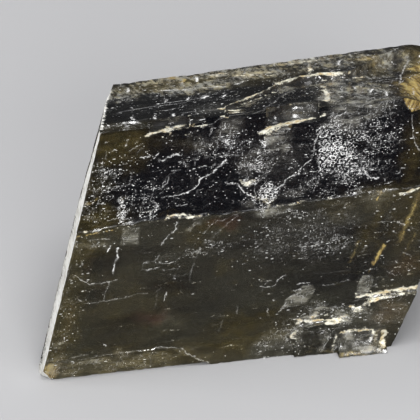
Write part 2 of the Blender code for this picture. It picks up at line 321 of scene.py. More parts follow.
CURLS = (
    (19.0, 14.5, 1.3, 1.5, -20, 0.95), (18.7, 16.0, 0.8, 1.2, -30, 0.6), (20.6, 15.6, 1.2, 1.4, -30, 0.5),
    (20.2, 13.2, 1.6, 0.9, -10, 0.6), (19.3, 14.6, 2.6, 2.8, -20, 0.42), (5.35, 12.5, 0.3, 0.9, -5, 0.85),
    (5.65, 11.5, 0.3, 0.5, 10, 0.7), (7.6, 12.0, 0.3, 0.9, -12, 0.5), (14.8, 12.0, 0.6, 0.7, 0, 0.85),
    (14.2, 11.3, 0.4, 0.5, 0, 0.7), (12.4, 15.7, 1.0, 0.8, 30, 0.45), (14.1, 14.3, 0.5, 1.0, 0, 0.5),
    (14.8, 15.8, 0.5, 0.7, 12, 0.75), (4.6, 14.6, 0.8, 0.5, 0, 0.45),
)
print(sum(map(len, (HAZE, AMBER, SHADE, GOLD, CRUST, RED, FLECKS, CURLS))), "soft patches")

# %% [markdown]
# Where a sheet tore off, the torn edge catches the light as a cream-coloured
# ledge. A ledge is drawn like a crack, only wider, and finished as a crust. Veils
# are wide bars of haze, and threads are golden strokes that follow the cleavage.

# %% Draw the ledges, veils and threads
LEDGES = bent_lines((
    # Under the nicks in the top edge.
    (0.30, 0.9, 7.0, 17.1, 7.4, 17.3, 8.0, 17.38, 8.6, 17.45),
    (0.56, 1.0, 8.0, 17.38, 8.8, 17.5, 9.7, 17.62),
    (0.20, 0.7, 9.6, 17.55, 10.4, 17.42, 10.9, 17.45),
    (0.20, 0.75, 8.9, 17.6, 9.3, 18.0),
    (0.44, 1.0, 14.35, 16.42, 14.7, 16.65, 15.3, 16.85, 16.2, 16.98),
    (0.28, 1.0, 17.95, 17.18, 18.35, 17.28),
    (0.35, 0.9, 11.9, 18.0, 12.3, 18.1),
    # Along the line where the upper sheet broke off.
    (0.12, 0.7, 2.6, 10.9, 3.2, 10.75, 4.6, 10.72),
    (0.10, 0.5, 4.9, 10.8, 6.0, 10.85, 6.9, 10.95, 8.1, 11.05),
    (0.36, 0.65, 8.1, 11.05, 8.6, 11.22, 9.4, 11.22, 9.9, 11.05),
    (0.10, 0.6, 9.9, 11.05, 11.5, 11.0, 13.3, 11.02),
    (0.09, 0.4, 2.7, 11.9, 4.0, 11.75, 5.0, 11.75),
    (0.11, 0.6, 15.3, 11.2, 16.8, 11.25, 18.4, 11.35, 20.0, 11.4),
    (0.24, 1.0, 23.4, 11.08, 24.0, 11.15, 24.7, 11.4),
    # The stepped ledges at the lower right, and the flake under them.
    (0.26, 0.95, 16.7, 2.2, 16.95, 2.36, 18.1, 2.4, 18.9, 2.33, 19.9, 2.45),
    (0.14, 0.7, 16.6, 2.62, 17.4, 2.66, 18.4, 2.76, 19.2, 2.6),
    (0.20, 0.85, 20.3, 3.15, 20.6, 2.95, 21.15, 3.08, 21.45, 3.55),
    (0.30, 1.0, 20.6, 3.84, 21.9, 3.87, 23.5, 3.95, 24.8, 4.08),
    (0.12, 0.6, 21.2, 3.6, 22.3, 3.66, 24.4, 3.76),
    (0.24, 1.0, 19.5, 1.47, 20.3, 1.54, 21.5, 1.45),
    (0.18, 0.9, 21.4, 1.1, 21.7, 1.08, 22.0, 0.9),
    (0.16, 0.8, 19.35, 1.3, 19.1, 0.7, 19.0, 0.2),
))
VEILS = bent_lines((
    (0.7, 0.3, 18.6, 1.6, 18.32, 0.44),
    (0.4, 0.5, 19.3, 1.35, 19.05, 0.2),
    (0.5, 0.4, 16.85, 2.3, 16.7, 1.1),
))
THREADS = bent_lines((
    (0.8, 0.5, 24.65, 11.0, 24.3, 10.0, 23.9, 9.0, 23.5, 7.7),
    (0.40, 0.4, 24.4, 8.0, 23.7, 6.6),
    (0.38, 0.9, 22.3, 7.4, 22.05, 6.85, 21.75, 6.15),
    (0.14, 0.6, 21.75, 6.15, 21.4, 5.45),
    (0.30, 0.5, 20.75, 8.0, 20.2, 6.4),
    (0.16, 1.0, 22.1, 11.4, 21.85, 10.85),
    (0.18, 0.8, 2.4, 10.5, 3.4, 10.6, 4.8, 10.7),
    (0.40, 0.45, 19.4, 0.25, 20.6, 0.28, 22.0, 0.3),
))
print(len(LEDGES) + len(VEILS) + len(THREADS), "ledges, veils and threads drawn")

# %% [markdown]
# A sliver that has lifted whole shows as a grey plate with a clean outline, so
# these are given by their corners, after a strength and how wide the rim fades.

# %% Outline the lifted plates
PLATES = (
    ("haze", 0.34, 0.05, (
        (15.55, 3.35), (16.0, 4.25), (16.25, 4.5), (16.8, 4.8), (17.1, 5.15), (17.78, 5.14),
        (17.95, 4.8), (17.85, 4.35), (17.4, 3.85), (16.9, 3.7), (16.2, 3.6),
    )),
    ("haze", 0.32, 0.05, ((20.4, 3.85), (21.0, 5.42), (21.7, 5.3), (21.64, 4.5), (21.32, 3.7))),
    ("haze", 0.36, 0.1, ((5.25, 9.55), (6.45, 9.5), (6.6, 10.75), (5.35, 10.85))),
    # The golden corner at the upper right.
    ("gold", 1.2, 0.15, (
        (22.9, 18.9), (23.4, 17.9), (23.6, 17.4), (23.95, 16.72), (24.5, 16.9), (27.0, 17.2), (27.0, 18.9),
    )),
)
print(len(PLATES), "plates outlined")

# %% [markdown]
# ## Marks on the top face
#
# The top slopes away to the back and is seen almost edge-on, so its marks look
# squeezed into bright streaks. They are placed along the two edges of that face:
# so far along the front edge, and so far down the slanted left edge.

# %% Place the marks of the top face
TOP_CORNER = (4.16, 0.0)
BACK_EDGE = (0.2262, 0.9315)


def on_top(along, back):
    """Turn distances along the top's two edges into across and depth."""
    return TOP_CORNER[0] + along + BACK_EDGE[0] * back, TOP_CORNER[1] + BACK_EDGE[1] * back


def lines_on_top(rows):
    """Lines whose bends are given along the top's edges."""
    return tuple(
        (width, strength, tuple(on_top(*bend) for bend in line))
        for width, strength, line in bent_lines(rows)
    )


def ovals_on_top(rows):
    """Ovals whose centres are given along the top's edges."""
    return tuple((*on_top(along, back), *shape) for along, back, *shape in rows)


TOP_CRACKS = lines_on_top((
    (0.09, 0.35, 9.4, 0.0, 10.3, 1.0, 10.8, 2.9, 11.4, 4.7, 11.9, 6.0),
    (0.14, 0.9, 3.3, 10.0, 4.4, 9.7, 5.6, 9.3, 7.7, 8.5),
    (0.12, 0.5, 1.0, 5.0, 3.0, 5.6, 5.2, 5.4),
    # Round specks, drawn long because this face is seen from so low.
    (0.22, 1.0, 1.9, 2.5, 1.9, 3.3),
    (0.20, 0.9, 3.3, 1.9, 3.3, 2.7),
    (0.20, 0.9, 4.5, 2.0, 4.5, 2.7),
    (0.26, 1.0, 3.8, 6.5, 3.9, 7.1),
    (0.24, 1.0, 5.3, 6.2, 5.36, 6.7),
    (0.30, 1.0, 6.3, 6.0, 6.5, 6.6),
    (0.24, 1.0, 7.6, 5.6, 7.75, 6.0),
    (0.30, 1.0, 8.4, 9.0, 8.8, 9.3),
    (0.24, 0.9, 5.7, 11.4, 5.7, 12.6),
    (0.22, 0.8, 1.2, 11.0, 1.2, 12.2),
    (0.22, 0.9, 17.3, 3.2, 17.3, 4.2),
    (0.20, 0.9, 18.2, 1.6, 18.2, 2.8),
    (0.20, 0.8, 16.2, 4.6, 16.2, 5.6),
    (0.22, 0.8, 15.2, 10.6, 15.2, 12.0),
    (0.12, 0.6, 19.15, 5.0, 19.3, 8.0, 19.9, 11.6),
))
TOP_LEDGES = lines_on_top((
    (0.60, 0.85, 7.9, 2.7, 9.2, 4.0, 10.6, 6.0),
    (0.60, 0.95, 10.6, 6.0, 11.5, 7.9),
    (0.50, 1.0, 11.5, 7.9, 12.6, 8.5, 14.0, 8.6, 15.3, 8.1),
    (0.50, 0.9, 15.3, 8.1, 16.6, 8.15),
    (0.60, 1.0, 7.6, 2.2, 8.7, 1.9),
    (0.40, 0.8, 7.9, 1.4, 8.9, 1.3),
    (1.30, 1.0, 11.2, 0.1, 11.9, 0.5, 12.6, 0.9),
    (1.10, 1.0, 3.9, 0.1, 4.5, 0.55, 5.0, 1.0),
    (0.50, 1.0, 12.6, 0.9, 13.3, 1.15, 13.8, 1.3),
    (0.70, 0.7, 14.2, 6.4, 14.3, 4.9, 14.45, 1.8),
    (0.40, 0.7, 13.2, 9.0, 13.3, 11.4),
    (0.60, 0.6, 8.3, 11.4, 9.6, 10.9, 11.0, 9.8),
))
TOP_HAZE = ovals_on_top((
    (16.8, 0.6, 2.0, 0.9, 0, 0.5), (14.6, 3.0, 0.5, 3.0, -10, 0.4), (6.8, 2.5, 1.2, 1.2, 0, 0.2),
))
# A dull spot on the walls of a nick, given straight across and in depth.
TOP_HAZE += ((17.3, 1.6, 1.0, 0.4, 0, 0.22),)
TOP_MIST = ovals_on_top((
    (5.4, 9.6, 4.4, 2.4, 4, 1.0), (1.0, 10.2, 1.8, 3.4, -14, 0.9), (4.0, 12.9, 5.0, 2.0, 0, 1.0),
    (12.0, 13.4, 7.0, 1.4, 0, 1.0), (18.6, 11.6, 2.4, 3.0, 0, 0.9), (9.8, 11.2, 3.4, 2.2, -8, 1.0),
    (15.0, 11.4, 5.0, 2.6, 4, 0.95), (16.8, 0.8, 2.2, 1.2, 0, 0.7), (16.8, 4.0, 2.6, 3.4, 0, 0.95),
    (16.6, 7.6, 2.6, 1.4, 0, 0.8), (14.6, 3.0, 0.6, 3.4, -10, 0.7), (7.0, 3.0, 1.6, 2.0, 0, 0.35),
    (2.4, 5.0, 3.0, 4.0, 0, 0.45), (10.4, 3.4, 1.4, 2.4, 0, 0.35),
))
TOP_CRUST = ovals_on_top((
    (9.6, 11.2, 1.6, 0.7, -5, 0.42), (5.6, 9.4, 2.4, 0.4, 2, 0.38), (7.5, 12.6, 1.8, 1.0, 0, 0.45),
    (2.8, 12.6, 1.2, 0.8, 0, 0.38), (12.4, 13.0, 1.6, 0.7, 0, 0.4), (14.5, 1.2, 0.4, 1.0, 0, 0.4),
))
TOP_GOLD = ovals_on_top((
    (4.8, 12.4, 0.28, 0.8, 0, 1.1), (9.6, 11.2, 1.6, 1.2, 0, 0.35), (8.2, 1.9, 0.5, 0.4, 0, 0.4),
    (17.1, 11.4, 0.6, 0.8, 0, 0.6), (22.0, 2.6, 2.8, 5.4, -14, 1.2), (21.2, 7.4, 1.3, 4.4, -14, 0.95),
))
TOP_AMBER = ovals_on_top((
    (4.0, 11.5, 4.2, 1.6, 0, 0.8), (10.0, 9.5, 2.6, 1.6, 0, 0.5), (18.6, 9.5, 1.6, 2.6, 0, 0.6),
    (22.4, 6.0, 3.0, 9.0, -14, 1.0), (1.2, 0.9, 2.2, 1.2, 0, 0.45),
))
# White flecks over pitted spots; their white stands in for the glints of the pits, a painted highlight.
TOP_FLECKS = ovals_on_top((
    (6.0, 7.0, 6.0, 5.0, 0, 0.3), (14.5, 7.0, 6.0, 5.0, 0, 0.3), (16.6, 3.0, 2.6, 3.0, 0, 0.6),
    (1.5, 1.0, 2.6, 1.4, 0, 0.25),
))
# Darker places on the top; the narrow first one is a painted shadow of the step beside the golden corner.
TOP_SHADE = ovals_on_top((
    (18.85, 6.0, 0.35, 8.0, -14, 1.0), (12.0, 4.5, 1.8, 2.6, -14, 0.6), (4.0, 4.5, 3.4, 3.0, 0, 0.4),
))
# The white rim where the top meets the broken left side.
TOP_RIM = lines_on_top((
    (0.42, 1.0, -0.06, 1.0, -0.06, 7.0),
    (0.32, 1.0, -0.06, 7.0, -0.02, 13.4),
))
# The frosted bevel down the left front edge, as depth and height.
LEFT_RIM = bent_lines((
    (8.4, 1.12, 0.0, 3.0, 0.0, 9.5, 0.3, 17.6),
    (7.4, 1.0, 0.0, -1.0, 0.0, 3.0),
    (0.8, 1.0, 0.5, 17.7, 12.6, 14.2),
))
print(len(TOP_CRACKS), "cracks on the top")

# %% [markdown]
# ## Fine cracks everywhere else
#
# The sides that are turned away are cleavage faces too. Cleavage cracks have only
# a few directions to run in, so each one here starts anywhere, follows one of its
# face's two edge directions, and now and then jogs along the other. A seed makes
# every run draw the same cracks.

# %% Let cracks run along the cleavage
rng = np.random.default_rng(7)
DROPPED_AXIS = {FRONT: 1, BACK: 1, TOP: 2, UNDER: 2, LEFT: 0, RIGHT: 0}
EDGE_WAYS = {
    FRONT: ((1.0, 0.03), (0.2262, 0.9741)),
    BACK: ((1.0, 0.0), (0.2262, 0.9741)),
    TOP: ((1.0, 0.04), (0.2262, 0.9315)),
    UNDER: ((1.0, 0.0), (0.2262, 0.9315)),
    LEFT: ((0.9563, -0.2924), (0.0, 1.0)),
    RIGHT: ((0.9563, -0.2924), (0.0, 1.0)),
}
# How many cracks, the box they start in, their usual length, width and strength.
FINE_CRACKS = (
    (FRONT, 70, (1.5, 10.8), (24.5, 18.0), 0.5, 0.05, 0.5),
    (FRONT, 30, (0.5, 0.5), (24.5, 10.8), 0.6, 0.04, 0.25),
    (TOP, 50, (4.0, 0.2), (29.0, 13.0), 1.0, 0.08, 0.5),
    (LEFT, 60, (0.5, 0.5), (13.0, 17.0), 1.6, 0.07, 0.6),
    (RIGHT, 70, (0.5, 0.5), (13.0, 17.0), 1.6, 0.08, 0.6),
    (BACK, 110, (0.5, 0.5), (29.0, 14.0), 1.6, 0.07, 0.6),
    (UNDER, 20, (2.0, 1.0), (26.0, 12.0), 2.0, 0.08, 0.5),
)
MAIN_WAY_CHANCE = 0.72
JOG_CHANCE = 0.12
STRIDE = 0.22
WOBBLE = 0.03


def run_crack(ways, low, high, usual_length):
    """One crack as a few points, stepping along the cleavage directions."""
    spot = rng.uniform(low, high)
    length = usual_length * rng.lognormal(0.0, 0.6)
    main = 0 if rng.random() < MAIN_WAY_CHANCE else 1
    line = [spot]
    for _ in range(max(2, round(length / STRIDE))):
        way = np.array(ways[1 - main if rng.random() < JOG_CHANCE else main])
        line.append(line[-1] + way * STRIDE + rng.normal(0, WOBBLE, 2))
    return line


cracks = {index: [] for index in range(6)}
cracks[FRONT] += CRACKS
cracks[TOP] += TOP_CRACKS
wide_lines = {
    "crust": {FRONT: LEDGES, TOP: TOP_LEDGES},
    "haze": {FRONT: VEILS},
    "gold": {FRONT: THREADS},
    "frost": {TOP: TOP_RIM, LEFT: LEFT_RIM},
}
for where, count, low, high, usual_length, width, strength in FINE_CRACKS:
    for _ in range(count):
        line = run_crack(EDGE_WAYS[where], low, high, usual_length)
        cracks[where].append((width * rng.uniform(0.7, 1.4), strength * rng.uniform(0.4, 1.5), line))
print(sum(len(lines) for lines in cracks.values()), "cracks in all")

# %% Scatter soft patches over the hidden sides
patches = {
    "haze": {FRONT: HAZE, TOP: TOP_HAZE},
    "amber": {FRONT: AMBER, TOP: TOP_AMBER},
    "gold": {FRONT: GOLD, TOP: TOP_GOLD},
    "crust": {FRONT: CRUST, TOP: TOP_CRUST},
    "flecks": {FRONT: FLECKS, TOP: TOP_FLECKS},
    "curls": {FRONT: CURLS},
    "shade": {FRONT: SHADE, TOP: TOP_SHADE},
    "red": {FRONT: RED},
    "mist": {TOP: TOP_MIST},
    "frost": {},
}
HIDDEN_BOXES = {
    LEFT: ((0, 0), (13, 17)),
    RIGHT: ((0, 0), (13, 17)),
    BACK: ((0, 0), (29, 14)),
    UNDER: ((2, 1), (26, 12)),
}
# For each kind: how many on a side, half length, half height, strength.
SCATTER = {
    "haze": (7, 2.2, 0.7, 0.6),
    "gold": (5, 2.4, 0.7, 0.5),
    "amber": (7, 3.0, 1.6, 0.9),
    "crust": (9, 0.9, 0.16, 0.9),
    "flecks": (6, 2.6, 1.4, 0.6),
}
for where, (low, high) in HIDDEN_BOXES.items():
    lean = math.degrees(math.atan2(*EDGE_WAYS[where][0][::-1]))
    for kind, (count, half_length, half_height, strength) in SCATTER.items():
        patches[kind][where] = [
            (
                *rng.uniform(low, high),
                half_length * rng.lognormal(0, 0.4),
                half_height * rng.lognormal(0, 0.4),
                lean + (90 if rng.random() < 0.3 else 0) + rng.normal(0, 4),
                strength * rng.uniform(0.6, 1.2),
            )
            for _ in range(count)
        ]
print({kind: sum(map(len, by_side.values())) for kind, by_side in patches.items()})

# %% [markdown]
# ## Cover each face with fine triangles
#
# A crack must be a real groove, and the faces need enough points to carry it. A
# Subdivide would cut long thin triangles into longer ones, and a voxel remesh would
# round off the sharp edges that make a crystal look like one. So each flat face is
# filled on its own: evenly spaced points, rows of points along the cracks, and a
# Delaunay triangulation to join them. Neighbouring faces share the points on the
# edge between them, which keeps the whole surface closed.

# %% Put shared points along every edge
points = [vert.co / MM for vert in faces_mesh.verts]
edge_points = {}
for edge in faces_mesh.edges:
    spacing = min(step[face.index] for face in edge.link_faces)
    start, end = (vert.co / MM for vert in edge.verts)
    pieces = max(1, round((end - start).length / spacing))
    chain = [edge.verts[0].index]
    for piece in range(1, pieces):
        chain.append(len(points))
        points.append(start.lerp(end, piece / pieces))
    chain.append(edge.verts[1].index)
    edge_points[edge.index] = chain
edge_point_count = len(points)
print(edge_point_count, "points on the edges")


# %% Helpers that fill one face
def outline_of(face):
    """The face's outline as a list of shared point numbers."""
    outline = []
    for loop in face.loops:
        chain = edge_points[loop.edge.index]
        forwards = chain[0] == loop.vert.index
        outline.extend(chain[:-1] if forwards else chain[:0:-1])
    return outline


def flat_axes(face):
    """Two directions in the face's plane, which with its normal make a frame."""
    across = Vector((0, 0, 1)).cross(face.normal)
    if across.length < 0.1:
        across = Vector((1, 0, 0))
    across.normalize()
    return across, face.normal.cross(across)


def distance_to_lines(spots, starts, ends):
    """How far each spot is from the nearest of the straight lines."""
    nearest = np.full(len(spots), np.inf)
    for start, end in zip(starts, ends):
        along = end - start
        length = max(along @ along, 1e-12)
        share = np.clip(((spots - start) @ along) / length, 0, 1)
        gap = spots - start - share[:, None] * along
        nearest = np.minimum(nearest, np.hypot(gap[:, 0], gap[:, 1]))
    return nearest


def inside_outline(spots, corners):
    """True for each spot inside the outline, by counting crossings to its right."""
    inside = np.zeros(len(spots), bool)
    for start, end in zip(corners, np.roll(corners, -1, axis=0)):
        if start[1] == end[1]:
            continue
        crosses = (spots[:, 1] < start[1]) != (spots[:, 1] < end[1])
        where = (end[0] - start[0]) * (spots[:, 1] - start[1]) / (end[1] - start[1]) + start[0]
        inside ^= crosses & (spots[:, 0] < where)
    return inside


HONEYCOMB_JITTER = 0.22


def even_points(corners, spacing):
    """A jittered honeycomb of points over the outline's box."""
    low, high = corners.min(0), corners.max(0)
    columns = np.arange(low[0], high[0], spacing)
    rows = np.arange(low[1], high[1], spacing * math.sqrt(3) / 2)
    grid = np.stack(np.meshgrid(columns, rows), -1)
    grid[1::2, :, 0] += spacing / 2
    spots = grid.reshape(-1, 2)
    return spots + rng.uniform(-HONEYCOMB_JITTER, HONEYCOMB_JITTER, spots.shape) * spacing


# %% Rows of points along the cracks
CRACK_STEP = 0.1
PLATE_RIM = 0.05
UNSTEADINESS = 0.026
ROW_OFFSETS = (-1.0, -0.45, 0.0, 0.45, 1.0)


def follow(line, spacing):
    """Points every `spacing` along a bent line, a little unsteady, and which way is sideways."""
    line = np.array(line, float)
    lengths = np.hypot(*np.diff(line, axis=0).T)
    reached = np.concatenate(([0], np.cumsum(lengths)))
    stations = np.linspace(0, reached[-1], max(3, round(reached[-1] / spacing) + 1))
    path = np.stack([np.interp(stations, reached, line[:, axis]) for axis in range(2)], -1)
    heading = np.gradient(path, axis=0)
    heading /= np.hypot(heading[:, 0], heading[:, 1])[:, None]
    sideways = np.stack([-heading[:, 1], heading[:, 0]], -1)
    return path + sideways * rng.normal(0, UNSTEADINESS, len(path))[:, None], sideways


def crack_rows(width, path, sideways):
    """Five rows of points along a crack: its bottom, its lips and its outer edge."""
    return np.concatenate([path + sideways * (offset * width / 2) for offset in ROW_OFFSETS])


paths, row_points = {}, {}
for where, lines in cracks.items():
    followed = [(width, strength, *follow(line, CRACK_STEP)) for width, strength, line in lines]
    paths[where] = [(width, strength, path) for width, strength, path, sideways in followed]
    row_points[where] = np.concatenate(
        [crack_rows(width, path, sideways) for width, strength, path, sideways in followed]
    )
for *_, corners in PLATES:
    path, sideways = follow((*corners, corners[0]), CRACK_STEP)
    row_points[FRONT] = np.concatenate([row_points[FRONT], crack_rows(PLATE_RIM, path, sideways)])
print(sum(map(len, row_points.values())), "points along the cracks")


# %% Lay the crack rows on a face and keep points from crowding
front_corner = np.array(FRONT_CORNER) / MM


def lay_on_plane(spots, dropped, origin, normal):
    """Push flat spots straight onto a plane, along the axis that they leave out."""
    placed = np.insert(spots, dropped, 0.0, axis=1)
    placed += np.insert(np.delete(front_corner, dropped), dropped, 0.0)
    placed[:, dropped] = origin[dropped] - (
        np.delete(placed - origin, dropped, 1) @ np.delete(normal, dropped)
    ) / normal[dropped]
    return placed


def thin_out(spots, gap):
    """Keep each spot only if no earlier one is closer than gap; the first come first."""
    cells, kept = {}, []
    for index, (x, y) in enumerate(spots.tolist()):
        column, row = int(x // gap), int(y // gap)
        crowded = any(
            math.hypot(x - other_x, y - other_y) < gap
            for i in (-1, 0, 1) for j in (-1, 0, 1)
            for other_x, other_y in cells.get((column + i, row + j), ())
        )
        if not crowded:
            cells.setdefault((column, row), []).append((x, y))
            kept.append(index)
    return spots[kept]


# %% Fill every face
SMALLEST_GAP = 0.022
# Marks reach only the faces that look enough towards the way they are drawn from.
SQUARE_ON = 0.5
triangles, triangle_face = [], []
for face in faces_mesh.faces:
    outline = outline_of(face)
    across, upward = (np.array(axis) for axis in flat_axes(face))
    normal = np.array(face.normal)
    origin = np.array(face.verts[0].co) / MM
    corners = np.array([points[i] for i in outline]) - origin
    corners = np.stack([corners @ across, corners @ upward], -1)
    ends = np.roll(corners, -1, axis=0)
    spacing = step[face.index]
    dropped = DROPPED_AXIS[side[face.index]]
    rows = np.zeros((0, 2))
    if abs(normal[dropped]) > SQUARE_ON:
        rows = lay_on_plane(row_points[side[face.index]], dropped, origin, normal) - origin
        rows = np.stack([rows @ across, rows @ upward], -1)
        rows = rows[inside_outline(rows, corners)]
        rows = rows[distance_to_lines(rows, corners, ends) > SMALLEST_GAP] if len(rows) else rows
    spots = even_points(corners, spacing)
    spots = spots[inside_outline(spots, corners)]
    spots = spots[distance_to_lines(spots, corners, ends) > spacing / 2] if len(spots) else spots
    inner = thin_out(np.concatenate([rows, spots]), SMALLEST_GAP)
    flat = [Vector(spot) for spot in np.concatenate([corners, inner])]
    ring = [(i, (i + 1) % len(outline)) for i in range(len(outline))]
    placed, _, filled, sources, _, _ = delaunay_2d_cdt(flat, ring, [], 1, 1e-5)
    number = []
    for spot, source in zip(placed, sources):
        if source and min(source) < len(outline):
            number.append(outline[min(source)])
        else:
            number.append(len(points))
            points.append(Vector(origin + across * spot.x + upward * spot.y))
    triangles.extend([number[i] for i in triangle] for triangle in filled)
    triangle_face.extend([face.index] * len(filled))
print(len(points), "points,", len(triangles), "triangles")

# %% [markdown]
# ## Give the flat faces a broken surface
#
# Real cleavage is flat only from afar. Up close it has steps a hair high, pits,
# grooves at the cracks, crusts where grains tore out, and edges that are bruised
# rather than knife-sharp. All of it is cut inwards, so the crystal keeps its size.
# A Displace modifier could push along one texture, but each of these needs its own
# shape and place, so the points are moved with arrays.

# %% Gather the points and the way each one faces
place = np.array([tuple(point) for point in points]) - front_corner
triangles = np.array(triangles)
triangle_side = np.array(side)[triangle_face]
tips = place[triangles]
turned = np.cross(tips[:, 1] - tips[:, 0], tips[:, 2] - tips[:, 0])
outward = np.zeros_like(place)
for tip in range(3):
    np.add.at(outward, triangles[:, tip], turned)
outward /= np.linalg.norm(outward, axis=1)[:, None]
point_side = np.zeros(len(place), int)
for tip in range(3):
    point_side[triangles[:, tip]] = triangle_side


def flat_view(where, spots=place):
    """Every point as the 2-D marks of one side see it."""
    return np.delete(spots, DROPPED_AXIS[where], axis=1)


def on_side(where):
    """The numbers of the points that a side's triangles use."""
    return np.unique(triangles[triangle_side == where])


# %% Measure how strongly each mark touches each point
# A groove's depth, as a share of its crack's width.
GROOVE_SHARE = 0.45
CRACK_CRISPNESS = 2.2
LEDGE_GRAIN = np.array((0.3, 0.9, 0.2))


def noise_at(spots, scale, offset=0.0):
    """Smooth noise from -1 to 1 at each spot, one bump per `scale` mm on each axis."""
    scaled = spots / scale + offset
    return np.array([noise.noise(Vector(spot)) for spot in scaled.tolist()])


def shaken(size, offset):
    """Noise on each of the three axes at every point."""
    return np.stack([noise_at(place, size, offset + axis) for axis in range(3)], -1)


def line_strength(spots, lines, ragged=0.0, crispness=1.0):
    """Strength across each line, highest on the line, and the groove depth that it cuts."""
    strength = np.zeros(len(spots))
    depth = np.zeros(len(spots))
    for width, power, path in lines:
        low, high = path.min(0) - width, path.max(0) + width
        near = np.flatnonzero(((spots > low) & (spots < high)).all(1))
        if not len(near):
            continue
        gap = distance_to_lines(spots[near], path[:-1], path[1:])
        gap *= 1 + (ragged[near] if np.ndim(ragged) else ragged)
        share = np.clip(1 - gap / (width / 2), 0, 1)
        strength[near] = np.maximum(strength[near], power * np.minimum(1, share * crispness))
        depth[near] = np.maximum(depth[near], GROOVE_SHARE * width * share)
    return strength, depth


def patch_strength(spots, ovals):
    """Soft-edged ovals, the strongest winning."""
    strength = np.zeros(len(spots))
    for x, y, half_length, half_height, turn, power in ovals:
        angle = math.radians(turn)
        across = (spots - (x, y)) @ (math.cos(angle), math.sin(angle))
        upward = (spots - (x, y)) @ (-math.sin(angle), math.cos(angle))
        reach = (across / half_length) ** 2 + (upward / half_height) ** 2
        strength = np.maximum(strength, power * np.exp(-(reach ** 1.4)))
    return strength


marks = {name: np.zeros((6, len(place))) for name in ("crack", *patches)}
groove = np.zeros(len(place))
ragged = 1.1 * noise_at(place, LEDGE_GRAIN, 12.0)
uneven = 0.5 * noise_at(place, 0.16, 44.0)
warped = place + 0.7 * shaken(1.3, 60.0) + 0.3 * shaken(0.45, 70.0)
for where in range(6):
    used = on_side(where)
    spots = flat_view(where)[used]
    drawn, depth = line_strength(spots, paths[where], uneven[used], CRACK_CRISPNESS)
    marks["crack"][where, used] = drawn
    groove[used] = np.maximum(groove[used], depth)
    for kind, by_side in patches.items():
        marks[kind][where, used] = patch_strength(flat_view(where, warped)[used], by_side.get(where, ()))
    for kind, by_side in wide_lines.items():
        lines = [(width, power, np.array(line)) for width, power, line in by_side.get(where, ())]
        drawn, _ = line_strength(spots, lines, 0.0 if kind == "frost" else ragged[used])
        marks[kind][where, used] = np.maximum(marks[kind][where, used], drawn)
used = on_side(FRONT)
for kind, power, fade, corners in PLATES:
    spots, corners = flat_view(FRONT)[used], np.array(corners)
    reach = distance_to_lines(spots, corners, np.roll(corners, -1, axis=0)) / fade
    drawn = power * inside_outline(spots, corners) * np.clip(reach, 0, 1)
    marks[kind][FRONT, used] = np.maximum(marks[kind][FRONT, used], drawn)
print("points in a groove:", int((groove > 0).sum()))

# %% Let the crust on the top's risers thin out downwards
STEEP = 0.5
triangle_face = np.array(triangle_face)
fading = np.clip(0.95 + 0.8 * noise_at(place, np.array((1.5, 1.5, 0.8)), 50.0), 0.5, 1.2)
marks["crust"][TOP] *= fading
for face in faces_mesh.faces:
    if side[face.index] != TOP or abs(face.normal.dot(TOP_NORMAL)) > STEEP:
        continue
    used = np.unique(triangles[triangle_face == face.index])
    height = place[used] @ np.array(TOP_NORMAL)
    climb = (height - height.min()) / np.ptp(height)
    marks["crust"][TOP, used] *= np.clip((climb + 0.3 * ragged[used] - 0.3) / 0.4, 0, 1)
    marks["crack"][TOP, used] *= 0.2
print("crust on the top thinned to a mean of", round(float(marks["crust"][TOP].mean()), 3))

# %% Steps, pits and crusts
SHEET_HEIGHT = 0.0105
SHEETS_IN_A_BUMP = 4.0
WAVE_DEPTH = 0.012
CRUST_DEPTH = 0.05
CRUST_ROUGHNESS = 0.07
FLECK_DEPTH = 0.018
ALONG_GRAIN = np.array((3.2, 3.2, 1.1))
sheets = noise_at(place, ALONG_GRAIN) + 0.35 * noise_at(place, ALONG_GRAIN / 3.5, 9.0)
steps = np.floor(sheets * SHEETS_IN_A_BUMP) * SHEET_HEIGHT
steps -= steps.max()
waves = -WAVE_DEPTH * (1 + noise_at(place, 1.3, 4.0))
grains = noise_at(place, 0.22, 2.0) + 0.6 * noise_at(place, 0.11, 6.0)
at_point = {name: values.max(0) for name, values in marks.items()}
crusting = np.clip(at_point["crust"], 0, 1) * (CRUST_DEPTH + CRUST_ROUGHNESS * grains)
pitting = np.clip(at_point["flecks"], 0, 1) * FLECK_DEPTH * (1 + grains)
depth = waves + steps - groove - np.clip(crusting, 0, None) - pitting
print("deepest mark in mm:", round(-float(depth.min()), 3))

# %% Find the nearest edge of every point
outer, worn = [], []
for edge in faces_mesh.edges:
    first, second = edge.link_faces
    inward = -(first.normal + second.normal).normalized()
    convex = edge.is_convex
    for number in edge_points[edge.index]:
        worn.append((number, inward, convex))
        if side[first.index] != side[second.index]:
            outer.append(number)


def finder(numbers):
    """A tree that finds the nearest of the given points."""
    tree = kdtree.KDTree(len(numbers))
    for order, number in enumerate(numbers):
        tree.insert(place[number], order)
    tree.balance()
    return tree


outer_tree = finder(outer)
worn_tree = finder([number for number, inward, convex in worn])
from_outer = np.array([outer_tree.find(spot)[2] for spot in place.tolist()])
nearest = [worn_tree.find(spot) for spot in place.tolist()]
from_edge = np.array([found[2] for found in nearest])
inward = np.array([worn[found[1]][1][:] for found in nearest])
convex = np.array([worn[found[1]][2] for found in nearest])
print("points between two sides:", len(set(outer)))

# %% Bruise the edges and tear the risers
# How deep edges are worn everywhere, in long dents and in short chips.
WEAR, DENT, CHIP = 0.012, 0.11, 0.05
BRUISE_REACH = 0.28
bruise = WEAR + DENT * np.clip(noise_at(place, 0.8, 3.0) - 0.05, 0, 1)
bruise += CHIP * np.clip(noise_at(place, 0.3, 5.0), 0, 1)
bruise *= convex * np.clip(1 - from_edge / BRUISE_REACH, 0, 1) ** 2
